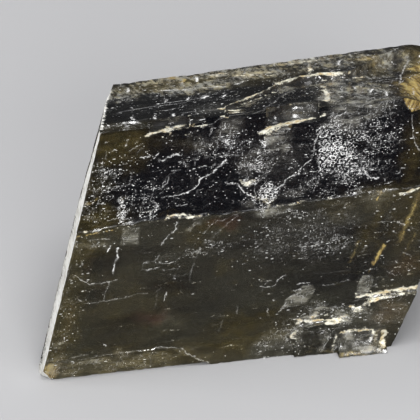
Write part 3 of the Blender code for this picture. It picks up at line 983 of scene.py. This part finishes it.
# How far the risers' edges wander within their side, in long and in short bends.
LONG_TEAR, SHORT_TEAR = 0.11, 0.04
TEAR_REACH = 0.8
tear = shaken(0.9, 20.0) * LONG_TEAR + shaken(0.3, 30.0) * SHORT_TEAR
side_normals = np.zeros((6, 3))
for face in faces_mesh.faces:
    if broad[face.index]:
        side_normals[side[face.index]] += np.array(face.normal) * face.calc_area()
side_normals /= np.linalg.norm(side_normals, axis=1)[:, None]
facing = side_normals[point_side]
tear -= facing * (tear * facing).sum(1)[:, None]
tear *= np.clip(from_outer / TEAR_REACH, 0, 1)[:, None] ** 2
# Marks are shallower right at an edge, so that it stays whole.
SETTLE_REACH = 0.15
settled = np.clip(from_edge / SETTLE_REACH, 0.25, 1.0)
moved = place + outward * (depth * settled)[:, None] + inward * bruise[:, None] + tear
moved = np.clip(moved, place.min(0), place.max(0))
print("furthest a point moved in mm:", round(float(np.linalg.norm(moved - place, axis=1).max()), 3))

# %% Build the stone's mesh
stone_mesh = bpy.data.meshes.new("stone_surface")
stone_mesh.from_pydata((moved + front_corner) * MM, [], triangles)
for name, values in marks.items():
    layer = stone_mesh.attributes.new(name, "FLOAT", "CORNER")
    layer.data.foreach_set("value", values[triangle_side.repeat(3), triangles.ravel()].astype(np.float32))
stone = bpy.data.objects.new("siderite_stone", stone_mesh)
bpy.context.scene.collection.objects.link(stone)
stone_mesh.polygons.foreach_set("use_smooth", [True] * len(stone_mesh.polygons))
print("stone sits at", round(float(moved[:, 2].min()), 3), "mm")

# %% Keep the crystal's edges sharp
on_edge = set()
for chain in edge_points.values():
    on_edge.update(tuple(sorted(pair)) for pair in zip(chain, chain[1:]))
sharp = stone_mesh.attributes.new("sharp_edge", "BOOLEAN", "EDGE")
pairs = np.zeros(len(stone_mesh.edges) * 2, int)
stone_mesh.edges.foreach_get("vertices", pairs)
sharp.data.foreach_set("value", [tuple(sorted(pair)) in on_edge for pair in pairs.reshape(-1, 2).tolist()])
# Below this height the front face takes the olive colour: there it is a painted sheen that makes the lower
# zone lighter than the black upper one.
SEAM_HEIGHT = 10.2
lower = np.zeros(len(faces_mesh.faces))
for face in faces_mesh.faces:
    low_down = face.calc_center_median().z / MM < SEAM_HEIGHT
    lower[face.index] = side[face.index] == FRONT and low_down
body = np.choose(triangle_side, (0.0, 0.25, 0.8, 0.7, 0.5, 0.8))
body = np.maximum(body, lower[triangle_face])
layer = stone_mesh.attributes.new("body", "FLOAT", "CORNER")
layer.data.foreach_set("value", body.repeat(3).astype(np.float32))
print(len(on_edge), "edge pieces kept sharp")

# %% [markdown]
# ## The stone's finish
#
# Siderite of this kind is clear but deeply coloured: light that goes in through a
# thin edge comes out golden, and light that has to cross the whole stone doesn't
# come out at all. A black paint would lose that, so the body lets light through,
# and an absorption inside it does the darkening. Everything that scatters light,
# such as cracks, crusts and haze, covers the clear body, stronger or weaker.

# %% Helpers that lay out shader nodes
stone_finish = bpy.data.materials.new("siderite")
stone_finish.use_nodes = True
tree = stone_finish.node_tree
tree.nodes.clear()


def feed(socket, value):
    """Link a socket to another one, or set it to a number or a colour."""
    if isinstance(value, bpy.types.NodeSocket):
        tree.links.new(value, socket)
    elif socket.type == "RGBA" and len(value) == 3:
        socket.default_value = (*value, 1.0)
    else:
        socket.default_value = value


def add(kind, settings=None, **inputs):
    """A new node, with its settings and with each input set or linked."""
    made = tree.nodes.new("ShaderNode" + kind)
    for name, value in (settings or {}).items():
        setattr(made, name, value)
    for name, value in inputs.items():
        feed(made.inputs[name.replace("_", " ")], value)
    return made


def maths(operation, first, second=0.0, clamp=False):
    """One sum on two values or sockets."""
    made = add("Math", {"operation": operation, "use_clamp": clamp})
    feed(made.inputs[0], first)
    feed(made.inputs[1], second)
    return made.outputs[0]


def ramp(value, low, high, bottom=0.0, top=1.0):
    """Turn the range low to high into bottom to top, with soft ends."""
    ends = {"From_Min": low, "From_Max": high, "To_Min": bottom, "To_Max": top}
    return add("MapRange", {"interpolation_type": "SMOOTHSTEP"}, Value=value, **ends).outputs[0]


def tint(share, first, second):
    """Mix two colours, or sockets that carry one."""
    made = add("Mix", {"data_type": "RGBA"})
    feed(made.inputs[0], share)
    feed(made.inputs[6], first)
    feed(made.inputs[7], second)
    return made.outputs[2]


def mark(name):
    """A mark that was measured on the mesh, as a value."""
    return add("Attribute", {"attribute_name": name}).outputs["Fac"]


# %% Patterns in the stone, all measured in millimetres
position = add("TexCoord").outputs["Object"]


def stretched(x, y, z, lean=0.0):
    """The stone's own coordinates, with a pattern's size along each axis in mm."""
    made = add("Mapping", {"vector_type": "TEXTURE"}, Vector=position)
    made.inputs["Scale"].default_value = (x * MM, y * MM, z * MM)
    made.inputs["Rotation"].default_value = (0.0, math.radians(lean), 0.0)
    return made.outputs[0]


def cloud(size, detail=4.0, roughness=0.6):
    """Noise from 0 to 1 with the given size in mm on each axis."""
    made = add("TexNoise", Vector=stretched(*size), Scale=1.0, Detail=detail, Roughness=roughness)
    return made.outputs["Fac"]


def specks(size, share, radius):
    """Round specks of uneven brightness: share says how many cells hold one."""
    made = add("TexVoronoi", Vector=stretched(*size), Scale=1.0)
    chance = add("SeparateColor", Color=made.outputs["Color"]).outputs
    picked = maths("LESS_THAN", chance[0], share)
    speck = maths("MULTIPLY", picked, ramp(made.outputs["Distance"], radius, radius * 0.4))
    return maths("MULTIPLY", speck, ramp(chance[1], 0.0, 1.0, 0.35, 1.3))


def web(size, thickness, detail=2.0):
    """Thin curling lines, drawn where a noise crosses its own middle value."""
    noise_value = cloud(size, detail, 0.5)
    return ramp(maths("ABSOLUTE", maths("SUBTRACT", noise_value, 0.5)), thickness, thickness * 0.3)


def rings(size, radius, thickness):
    """Little rings, one in each cell."""
    made = add("TexVoronoi", Vector=stretched(*size), Scale=1.0)
    from_ring = maths("ABSOLUTE", maths("SUBTRACT", made.outputs["Distance"], radius))
    return ramp(from_ring, thickness, thickness * 0.3)


def product(*factors):
    """Several values multiplied together."""
    result = factors[0]
    for factor in factors[1:]:
        result = maths("MULTIPLY", result, factor)
    return result


def strongest(*values):
    """The largest of several values."""
    result = values[0]
    for value in values[1:]:
        result = maths("MAXIMUM", result, value)
    return result


streaks = cloud((1.6, 1.6, 0.16), 6.0, 0.7)
wisps = cloud((5.0, 5.0, 1.6), 5.0, 0.6)
clumps = cloud((1.1, 1.1, 0.5), 4.0, 0.65)
grit = cloud((0.16, 0.16, 0.12), 3.0, 0.7)
fine_grit = cloud((0.10, 0.10, 0.07), 2.0, 0.6)
LEAN = 18.0
fibres = cloud((0.2, 1.6, 1.6, LEAN), 4.0, 0.65)
patchy = ramp(cloud((0.4, 0.4, 0.3), 3.0, 0.6), 0.36, 0.56, 0.3, 1.0)


def roughened(value, amount):
    """A mark's strength with its edge broken up by clumps and grit."""
    loose = maths("ADD", maths("SUBTRACT", clumps, 0.5), product(maths("SUBTRACT", grit, 0.5), 1.6))
    return maths("ADD", value, product(loose, amount))


print(len(tree.nodes), "nodes make the patterns")


# %% How much each mark covers the clear body
flecks = product(mark("flecks"), ramp(clumps, 0.36, 0.62, 0.2, 1.7))
crack_cover = product(mark("crack"), patchy, 1.1)
crust_cover = ramp(roughened(mark("crust"), 0.8), 0.22, 0.62)
dulled = maths("ADD", mark("haze"), product(mark("crust"), 0.35))
brushed = cloud((0.9, 0.9, 0.14, LEAN / 6), 4.0, 0.65)
haze_cover = product(dulled, ramp(clumps, 0.3, 0.62, 0.45, 1.2), ramp(brushed, 0.34, 0.62, 0.5, 1.4))
blots = cloud((0.32, 1.3, 0.4), 5.0, 0.7)
misty = maths("ADD", product(mark("mist"), 0.8), product(maths("SUBTRACT", blots, 0.5), 2.6, mark("mist")))
mist_cover = product(ramp(misty, 0.25, 1.25), 0.85, maths("SUBTRACT", 1.0, mark("shade")))
gold_cover = product(ramp(roughened(mark("gold"), 0.35), 0.1, 0.85), ramp(fibres, 0.3, 0.6, 0.55, 1.05))
feathered = product(maths("SUBTRACT", streaks, 0.5), 1.8)
frost_cover = ramp(roughened(maths("ADD", mark("frost"), feathered), 0.7), 0.25, 0.7)
# The fine specks, dashes, grains and stray specks below are painted highlights: white standing in for the
# glints of tiny pits.
fine_glint_specks = specks((0.11, 0.11, 0.08), product(flecks, 0.36), 0.48)
dashes = specks((0.36, 0.36, 0.09), product(flecks, 0.30), 0.38)
grains = specks((0.40, 0.40, 0.30), product(flecks, 0.10), 0.22)
stray = specks((0.60, 0.60, 0.45), 0.025, 0.13)
curl_share = ramp(roughened(mark("curls"), 0.9), 0.28, 0.75)
curls = strongest(web((0.26, 0.26, 0.20), 0.028), rings((0.32, 0.32, 0.28), 0.40, 0.10))
curls = product(curls, curl_share, ramp(grit, 0.35, 0.6, 0.35, 1.5))
scratched = maths("ADD", flecks, product(mark("haze"), 2.2))
scratches = strongest(web((0.9, 0.9, 0.30), 0.010, 4.0), web((0.35, 0.35, 0.8, LEAN), 0.012, 3.0))
scratches = product(scratches, ramp(scratched, 0.0, 0.8, 0.05, 0.55), patchy)
fleck_and_glint_cover = strongest(fine_glint_specks, dashes, grains, product(stray, 0.8), curls, scratches)
print(len(tree.nodes), "nodes with the covers")

# %% Colour and clearness
BLACK_BODY = (0.017, 0.020, 0.028)
# Olive: a tone for the turned-away sides, and on the lower front a painted sheen.
OLIVE_BODY_AND_SHEEN = (0.175, 0.17, 0.125)
DARK_BODY = (0.029, 0.030, 0.038)
AMBER_BODY = (0.33, 0.26, 0.08)
GOLDEN = (0.80, 0.61, 0.20)
BROWN_GOLD = (0.46, 0.29, 0.07)
RUSTY = (0.33, 0.11, 0.06)
GREY_HAZE = (0.44, 0.42, 0.345)
PALE_MIST = (0.55, 0.55, 0.50)
YELLOW_MIST = (0.60, 0.53, 0.32)
BROWN_MIST = (0.24, 0.18, 0.09)
CREAM = (0.90, 0.87, 0.72)
OCHRE = (0.66, 0.50, 0.24)
GAPS = (0.16, 0.145, 0.085)
FROSTED = (0.95, 0.95, 0.91)
DULL_FROST = (0.82, 0.80, 0.72)
GREY_FROST = (0.55, 0.53, 0.46)
WHITE = (0.95, 0.95, 0.93)

body_colour = tint(mark("body"), BLACK_BODY, OLIVE_BODY_AND_SHEEN)
body_colour = tint(ramp(wisps, 0.42, 0.72, 0.0, 0.6), body_colour, DARK_BODY)
body_colour = tint(product(mark("amber"), ramp(clumps, 0.35, 0.65, 0.45, 1.0)), body_colour, AMBER_BODY)
body_colour = tint(product(mark("body"), ramp(clumps, 0.58, 0.75, 0.0, 0.35)), body_colour, AMBER_BODY)
body_colour = tint(mark("red"), body_colour, RUSTY)
body_colour = tint(mark("shade"), body_colour, DARK_BODY)
gold_colour = tint(ramp(fibres, 0.4, 0.62), BROWN_GOLD, GOLDEN)
colour = tint(gold_cover, body_colour, gold_colour)
colour = tint(haze_cover, colour, GREY_HAZE)
mist_colour = tint(ramp(cloud((0.9, 2.6, 0.8)), 0.42, 0.62), PALE_MIST, YELLOW_MIST)
mist_colour = tint(ramp(cloud((0.5, 1.8, 0.6)), 0.5, 0.66), mist_colour, BROWN_MIST)
colour = tint(mist_cover, colour, mist_colour)
crust_colour = tint(ramp(cloud((0.6, 0.6, 0.35)), 0.46, 0.68), CREAM, OCHRE)
splinters = cloud((0.45, 0.9, 0.06), 3.0, 0.65)
crust_colour = tint(ramp(product(splinters, maths("ADD", fine_grit, 0.5)), 0.50, 0.36), crust_colour, GAPS)
colour = tint(crust_cover, colour, crust_colour)
frost_colour = tint(ramp(streaks, 0.42, 0.68), FROSTED, DULL_FROST)
frost_colour = tint(ramp(clumps, 0.48, 0.66, 0.0, 0.7), frost_colour, GREY_FROST)
colour = tint(frost_cover, colour, frost_colour)
colour = tint(strongest(crack_cover, fleck_and_glint_cover), colour, WHITE)
CLEAR = 0.82
GOLD_VEIL = 0.55
cover = strongest(crust_cover, haze_cover, mist_cover, frost_cover, crack_cover, fleck_and_glint_cover)
cover = maths("MAXIMUM", cover, product(gold_cover, GOLD_VEIL))
clearness = maths("MULTIPLY", maths("SUBTRACT", 1.0, cover, clamp=True), CLEAR)
POLISH = 0.12
DULLING = 0.4
roughness = maths("ADD", product(cover, DULLING), POLISH)
print(len(tree.nodes), "nodes with the colours")

# %% The surface and what fills the stone
REFRACTION = 1.75
ABSORBED = (0.55, 0.36, 0.06, 1.0)
ABSORBED_PER_METRE = 420.0
BUMP_HEIGHT = 0.03 * MM
relief = maths("ADD", product(streaks, 0.18), product(fine_grit, cover))
bump = add("Bump", Height=relief, Strength=0.35, Distance=BUMP_HEIGHT)
surface = add(
    "BsdfPrincipled", Base_Color=colour, Roughness=roughness, IOR=REFRACTION,
    Transmission_Weight=clearness, Normal=bump.outputs[0],
)
inside = add("VolumeAbsorption", Color=ABSORBED, Density=ABSORBED_PER_METRE)
add("OutputMaterial", Surface=surface.outputs[0], Volume=inside.outputs[0])
stone_mesh.materials.append(stone_finish)
print(len(tree.nodes), "nodes in the siderite finish")

# %% Tie the stone to the solid it stands for
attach(stone, "root")
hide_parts("siderite_crystal")
print("stone triangles:", len(stone_mesh.polygons))

# %% [markdown]
# ## Floor and light
#
# A pale floor shows the stone's outline, and soft light from large lamps shows the
# steps in its surface without hard glare.

# %% Lay the floor
FLOOR_SIZE = 1.6
floor_mesh = bpy.data.meshes.new("floor")
half = FLOOR_SIZE / 2
floor_corners = [(-half, -half, 0), (half, -half, 0), (half, half, 0), (-half, half, 0)]
floor_mesh.from_pydata(floor_corners, [], [(0, 1, 2, 3)])
floor = bpy.data.objects.new("floor", floor_mesh)
bpy.context.scene.collection.objects.link(floor)
floor_finish = bpy.data.materials.new("pale_floor")
floor_finish.use_nodes = True
floor_shader = floor_finish.node_tree.nodes["Principled BSDF"]
floor_shader.inputs["Base Color"].default_value = (0.40, 0.40, 0.405, 1.0)
floor_shader.inputs["Roughness"].default_value = 0.8
floor_mesh.materials.append(floor_finish)
floor.visible_glossy = False
print("floor", FLOOR_SIZE, "m wide")

# %% Hang the lamps
STONE_MIDDLE = Vector((0.0, 0.0, 0.009))


def hang_lamp(name, spot, width, power):
    """A square soft lamp that looks at the stone's middle."""
    lamp = bpy.data.lights.new(name, "AREA")
    lamp.size = width
    lamp.energy = power
    holder = bpy.data.objects.new(name, lamp)
    holder.location = spot
    holder.rotation_mode = "QUATERNION"
    holder.rotation_quaternion = (STONE_MIDDLE - holder.location).to_track_quat("-Z", "Y")
    bpy.context.scene.collection.objects.link(holder)


hang_lamp("overhead", Vector((0.05, -0.12, 0.55)), 0.30, 2.2)
hang_lamp("left", Vector((-0.50, 0.05, 0.25)), 0.30, 1.6)
hang_lamp("front", Vector((-0.02, -0.66, 0.28)), 0.25, 3.4)

world = bpy.data.worlds.new("studio")
world.use_nodes = True
bpy.context.scene.world = world
background = world.node_tree.nodes["Background"]
upwards = world.node_tree.nodes.new("ShaderNodeSeparateXYZ")
heading = world.node_tree.nodes.new("ShaderNodeTexCoord")
shade = world.node_tree.nodes.new("ShaderNodeValToRGB")
shade.color_ramp.elements[0].position = 0.02
shade.color_ramp.elements[0].color = (0.02, 0.02, 0.022, 1.0)
shade.color_ramp.elements[1].position = 0.6
shade.color_ramp.elements[1].color = (0.45, 0.45, 0.47, 1.0)
world.node_tree.links.new(heading.outputs["Generated"], upwards.inputs[0])
world.node_tree.links.new(upwards.outputs["Z"], shade.inputs[0])
world.node_tree.links.new(shade.outputs[0], background.inputs["Color"])
bpy.context.scene.view_settings.view_transform = "Standard"
print("three lamps and a grey studio")
